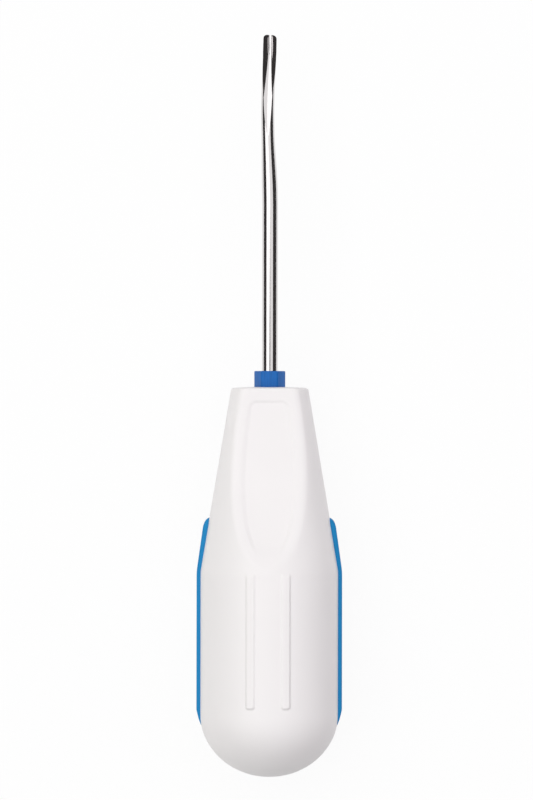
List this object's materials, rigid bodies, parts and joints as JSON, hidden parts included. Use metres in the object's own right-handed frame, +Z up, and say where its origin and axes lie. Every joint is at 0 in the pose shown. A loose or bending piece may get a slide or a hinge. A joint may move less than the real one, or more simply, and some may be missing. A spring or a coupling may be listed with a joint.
{
  "type": "dental root elevator",
  "caption": "Hand instrument with a curved steel gouge blade and a tapered white moulded handle with thumb scoops, raised ribs and blue side strips.",
  "frame": {"origin": "on the surface the tool lies on, under the middle of its length", "axes": "+Y along the tool towards the blade's tip, +Z up through the front thumb scoop, +X to the right seen from above"},
  "size_m": [0.0304, 0.1549, 0.0293],
  "materials": {
    "polished_steel": "mirror polished",
    "collar_blue": "moulded, semi-gloss",
    "handle_white": "moulded, fine satin",
    "strip_blue": "soft, satin"
  },
  "bodies": {
    "root": {"blade": "polished_steel", "collar": "collar_blue", "handle": "handle_white", "left_grip_strip": "strip_blue", "right_grip_strip": "strip_blue"}
  },
  "joints": []
}
